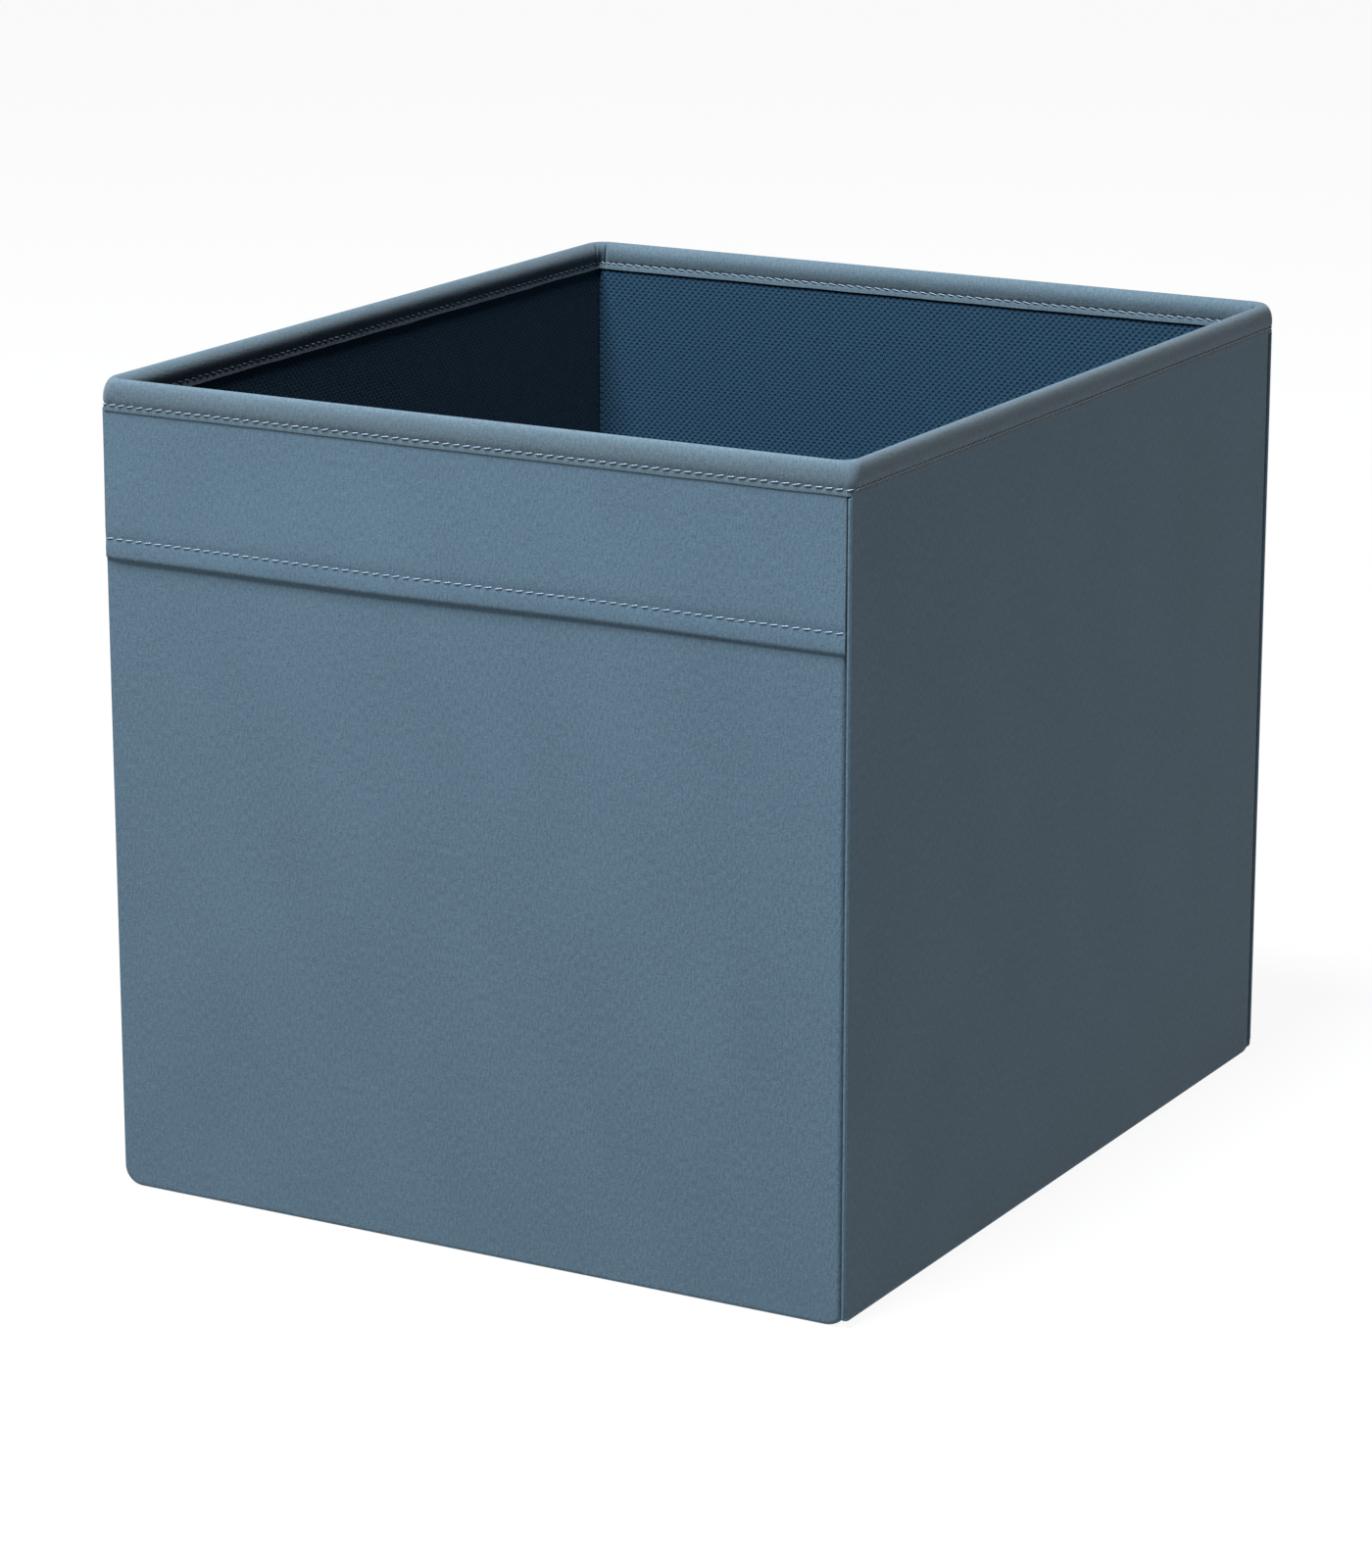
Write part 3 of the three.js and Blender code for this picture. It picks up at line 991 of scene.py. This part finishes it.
for corner, before, after in CORNERS:
    welt = welt_mesh(f"corner_welt_cloth_{corner}", before)
    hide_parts(f"corner_welt_{corner}")
    start = (RIGHT_INSET[before] + 0.1 * MM, COVER_DEPTH[before] + GROOVE_ROLL - 0.1 * MM)
    end = (COVER_DEPTH[after] + CLOTH + 0.1 * MM, WELT_DEPTH + WELT_HALF_DEPTH + 0.3 * MM)
    path = curve_between(start, WEB_BEHIND, end, WEB_STEPS)
    if corner == OPEN_CORNER:
        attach(welt, BODY[after])
        middle = WEB_STEPS // 2
        for wall, part in ((before, path[:middle + 1]), (after, path[middle:])):
            web = web_mesh(f"corner_web_{corner}_on_{wall}", before, part)
            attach(web, BODY[wall])
    else:
        blend_corner(welt, before, after, 20 * MM, 0)
        web = web_mesh(f"corner_web_{corner}", before, path)
        on_wall(before, HALF_ALONG[before] - start[0], start[1], 0)
        on_wall(before, HALF_ALONG[before] - end[0], end[1], 0)
        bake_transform(web)
print(f"welts {2 * WELT_HALF_WIDTH / MM:.1f} mm wide on {len(CORNERS)} corners")

# %% [markdown]
# ## Pull band
# A hemmed strip of the same cloth is caught in the rim seam and the two corner seams. Its lower
# edge is free, so a hand can hook behind it: it stands off the front, more at the left than at
# the right. Its hem is turned up inside and sewn, so the lower edge is a soft double fold.
# The band is made in two halves that share the middle.

# %% Band shape
BAND_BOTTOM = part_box("pull_band")[0].z
BAND_LEFT = 0.9 * MM - WIDTH / 2
BAND_RIGHT = WIDTH / 2 - RIGHT_INSET["front"] + 0.15 * MM
BAND_END_STEPS = [step * MM for step in (0, 0.1, 0.25, 0.5, 1.0, 2.0)]
BAND_TOP = HEIGHT - 11.7 * MM
BAND_CLOTH = 0.34 * MM
BAND_TOP_DEPTH = 0.92 * MM
BAND_GAP_LEFT, BAND_GAP_RIGHT, BAND_GAP_SEWN = 0.5, 0.1, 0.08  # millimetres behind the lower edge
band_thread_low, band_thread_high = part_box("pull_band_thread")
BAND_SEAM_HEIGHT = (band_thread_low.z + band_thread_high.z) / 2
HEM_KEYS = (  # depth behind the band's face, height above its lower edge: millimetres
    (0.72, 9.6),
    (0.74, 7.8),
    (0.78, 5.0),
    (0.78, 2.0),
    (0.68, 0.5),
    (0.38, 0.0),
    (0.08, 0.5),
    (0.0, 2.0),
    (0.02, 4.5),
    (0.16, 6.7),
    (0.30, 7.8),
    (0.18, 8.8),
    (0.02, 11.0),
    (0.0, 15.0),
)
HEM_THICKNESS = 0.78 * MM
HEM_SEAM_KEY = 10


def from_band_end(x):
    """How far a place along the band is from the nearer of its sewn ends."""
    return min(x - BAND_LEFT, BAND_RIGHT - x)


def band_gap(x):
    """How far the band's lower edge stands off the front, across the width."""
    loose = BAND_GAP_LEFT - (BAND_GAP_LEFT - BAND_GAP_RIGHT) * smoothstep(x, -20 * MM, 150 * MM)
    free = smoothstep(from_band_end(x), 0, 9 * MM)
    return (BAND_GAP_SEWN + (loose - BAND_GAP_SEWN) * free) * MM


def band_place(x, height, behind):
    """A point of the band: across, up, and behind its outer face."""
    edge_sag = 0.4 * math.exp(-((x + 50 * MM) / (45 * MM)) ** 2)
    edge_sag -= 0.5 * math.exp(-((x - 60 * MM) / (50 * MM)) ** 2)
    free = 1 - smoothstep(height, BAND_BOTTOM, BAND_TOP - 8 * MM)
    low_depth = COVER_FACE - band_gap(x) - HEM_THICKNESS
    depth = BAND_TOP_DEPTH + (low_depth - BAND_TOP_DEPTH) * free
    calm = smoothstep(from_band_end(x), 0, 30 * MM) * math.sin(math.pi * free)
    depth += calm * 0.25 * MM * noise.noise(Vector((x * 16, height * 14, 21.0)))
    depth += roll(x - BAND_LEFT, 0.5 * MM)
    return on_wall("front", x, depth + behind, height - edge_sag * free * MM)


def band_rows():
    """The band's rows, from the hem's inner edge round the fold and up to the rim seam."""
    count = (len(HEM_KEYS) - 1) * 2
    rows = [through(HEM_KEYS, k / 2) for k in range(count + 1)]
    rows = [(behind * MM, BAND_BOTTOM + up * MM) for behind, up in rows]
    rows += [(0.0, height) for height in stations(rows[-1][1] + 5 * MM, BAND_TOP, [0], [0], 6 * MM)]
    return rows


# %% [markdown]
# ## The band's two halves
# The hem is part of the same grid as the face, so the turned edge is really double. A row of
# stitches holds it, a little above the fold.

# %% Band halves
band_pattern = band_rows()
band_lengths = [0.0]
for (behind0, up0), (behind1, up1) in zip(band_pattern, band_pattern[1:]):
    band_lengths.append(band_lengths[-1] + math.hypot(behind1 - behind0, up1 - up0))
band_at = dict(zip(band_lengths, band_pattern))


def band_stitch_place(x, across, lift):
    """A point of the hem's thread, which lies on the band's face."""
    return band_place(x, BAND_SEAM_HEIGHT + across, HEM_KEYS[HEM_SEAM_KEY][0] * MM - lift)


for side, low, high in (("left", BAND_LEFT, 0.0), ("right", 0.0, BAND_RIGHT)):
    end = low or high
    low_steps, high_steps = (BAND_END_STEPS, [0]) if side == "left" else ([0], BAND_END_STEPS)
    columns = stations(low, high, low_steps, high_steps, 2.2 * MM)
    half_band = cloth_grid(
        f"pull_band_{side}_half", columns, band_lengths,
        lambda x, v: band_place(x, band_at[v][1], band_at[v][0]), outer_cloth, BAND_CLOTH,
    )
    count = round((high - low) / LONG_STITCH_PITCH)
    band_pitch = (high - low) / count
    middles = [low + (k + 0.5) * band_pitch for k in range(count)]
    half_stitches = stitch_mesh(
        f"pull_band_{side}_stitches", [(middles, band_pitch, band_stitch_place)], thread_draws
    )
    for piece, slot, node in (
        (half_band, "outer_fabric", "pull_band"), (half_stitches, "sewing_thread", "pull_band_thread"),
    ):
        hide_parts(node)
        on_wall("front", end, 0, BAND_BOTTOM)
        on_wall("front", 0, 0, BAND_BOTTOM)
        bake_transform(piece)
print(f"pull band cut {(BAND_RIGHT - BAND_LEFT) / MM:.0f} x {band_lengths[-1] / MM:.0f} mm")

# %% [markdown]
# ## Base flap
# The base is a loose board in the same two cloths, sewn round its edge. The cover turns up round
# the board, and the lining laps out to the walls. It hangs on a strip of tape under the left
# wall, so that it can swing out of the way when the bin is folded flat.

# %% Base cloths
BASE_CORNER = 6 * MM
BASE_SEAM_INSET = 7 * MM
BASE_LAP = 1.9 * MM
LINING_CORNER = 0.8 * MM
BASE_SOFTNESS = 0.12 * MM
BASE_COVER_CLOTH = 0.3 * MM
BASE_EDGE_CLOTH = 0.2 * MM
BASE_CORNER_STEPS = 6
SEAM_DENT = 0.15 * MM
SEAM_DENT_WIDTH = 1.2 * MM
base_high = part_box("base_lining")[1]
base_cover_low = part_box("base_cover")[0]
BASE_STEPS = [step * MM for step in (0, 0.3, 0.8, 1.5, 2.5, 4.0, 6.0, 7.0, 8.5, 12.0)]
BASE_WRAP = (  # inset from the base's edge, height above the cover's lower face: millimetres
    (1.4, 0.42),
    (0.3, 0.42),
    (0.06, 0.65),
    (0.0, 1.1),
    (0.0, 2.2),
    (0.12, 2.5),
    (0.5, 2.62),
    (1.4, 2.64),
)


def base_place(u, v, half_x, half_y, corner, height, sag_side):
    """A point of a base cloth, inside its rounded corners, with the seam pressed in."""
    up = half_y - abs(v)
    along = squeeze_in(u, half_x, corner_half_width(half_x, half_x, corner, up))
    to_seam = min(base_high.x - abs(along), base_high.y - abs(v)) - BASE_SEAM_INSET
    pressed = math.exp(-(to_seam / SEAM_DENT_WIDTH) ** 2) * SEAM_DENT
    soft = BASE_SOFTNESS * (1 - smoothstep(min(half_x - abs(along), up), 0, 3 * MM))
    return Vector((along, v, height - sag_side * (pressed + soft)))


def base_piece(name, lap, corner, height, sag_side, material, thickness):
    """A cloth of the base that laps past the board. It prints its cut."""
    half_x, half_y = base_high.x + lap, base_high.y + lap
    columns = stations(-half_x, half_x, BASE_STEPS, BASE_STEPS, LINING_SPACING)
    rows = stations(-half_y, half_y, BASE_STEPS, BASE_STEPS, LINING_SPACING)
    piece = cloth_grid(
        name, columns, rows, lambda u, v: base_place(u, v, half_x, half_y, corner, height, sag_side),
        material, thickness, facing_out=sag_side > 0,
    )
    print(f"{name}: cut {2 * half_x / MM:.0f} x {2 * half_y / MM:.0f} mm")
    return piece


def base_edge_mesh(name, material):
    """The cover cloth turned up round the board's edge, swept round the base as one ring."""
    points, uvs, faces = [], [], []
    for inset, height in BASE_WRAP:
        outline = rounded_bar(
            base_high.x - inset * MM, base_high.y - inset * MM, BASE_CORNER - inset * MM, BASE_CORNER_STEPS
        )
        points += [(x, y, base_cover_low.z + height * MM) for x, y in outline]
        uvs += [(math.atan2(y, x) * base_high.x, height * MM) for x, y in outline]
    sides = len(outline)
    for level in range(len(BASE_WRAP) - 1):
        for side in range(sides):
            here, beside = level * sides + side, level * sides + (side + 1) % sides
            faces.append((here, beside, beside + sides, here + sides))
    return thicken(new_piece(name, points, faces, uvs, material), BASE_EDGE_CLOTH)


base_board_low, base_board_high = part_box("base_board")
half_x, half_y = base_high.x - BOARD_INSET, base_high.y - BOARD_INSET
base_board = cloth_grid(
    "base_board_sheet",
    stations(-half_x, half_x, BOARD_STEPS, BOARD_STEPS, BOARD_SPACING),
    stations(-half_y, half_y, BOARD_STEPS, BOARD_STEPS, BOARD_SPACING),
    lambda u, v: Vector((board_along(half_x, -half_y, half_y, u, v), v, base_board_high.z)),
    greyboard, base_board_high.z - base_board_low.z,
)
base_lining = base_piece(
    "base_lining_cloth", BASE_LAP, LINING_CORNER, base_high.z, 1, lining_cloth, LINING
)
base_cover = base_piece(
    "base_cover_cloth", 0, BASE_CORNER, base_cover_low.z + 0.05 * MM, -1, outer_cloth, BASE_COVER_CLOTH
)
base_edge = base_edge_mesh("base_cover_edge", outer_cloth)
for piece, slot, node in (
    (base_board, "greyboard", "base_board"), (base_lining, "lining_fabric", "base_lining"),
    (base_cover, "outer_fabric", "base_cover"), (base_edge, "outer_fabric", "base_cover"),
):
    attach(piece, "base_flap")
    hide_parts(node)

# %% [markdown]
# ## Base seam and tape
# The base's two cloths are closed by one seam 7 mm inside the edge. The tape is a plain strip of
# the binding cloth, with a slight dip along the fold.

# %% Base seam and hinge tape
seam_x, seam_y = base_high.x - BASE_SEAM_INSET, base_high.y - BASE_SEAM_INSET
seam_face = base_high.z - SEAM_DENT


def base_seam(turn):
    """The stitches along one side of the base, found by quarter turns."""
    half, reach = (seam_x, seam_y) if turn % 2 == 0 else (seam_y, seam_x)
    count = round(2 * half / LONG_STITCH_PITCH)
    middles = [-half + (k + 0.5) * 2 * half / count for k in range(count)]

    def place(x, across, lift):
        flat_x, flat_y = x, -reach + across
        for _ in range(turn):
            flat_x, flat_y = -flat_y, flat_x
        return Vector((flat_x, flat_y, seam_face + lift))

    return middles, 2 * half / count, place


base_stitches = stitch_mesh("base_stitches", [base_seam(turn) for turn in range(4)], thread_draws)
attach(base_stitches, "base_flap")
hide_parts("base_thread")

tape_low, tape_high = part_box("base_hinge_tape")


def tape_place(u, v):
    """A point of the tape's upper face, which dips a little along its middle."""
    share = (u - tape_low.x) / (tape_high.x - tape_low.x)
    return Vector((u, v, tape_high.z - 0.05 * MM - 0.12 * MM * math.sin(math.pi * share)))


columns = stations(tape_low.x, tape_high.x, [0], [0], 0.5 * MM)
rows = stations(tape_low.y, tape_high.y, [0], [0], 10 * MM)
hinge_tape = cloth_grid("base_hinge_tape_cloth", columns, rows, tape_place, binding_cloth, 0.25 * MM)
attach(hinge_tape, "base_flap")
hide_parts("base_hinge_tape")
print(f"hinge tape {(tape_high.x - tape_low.x) / MM:.1f} mm wide")
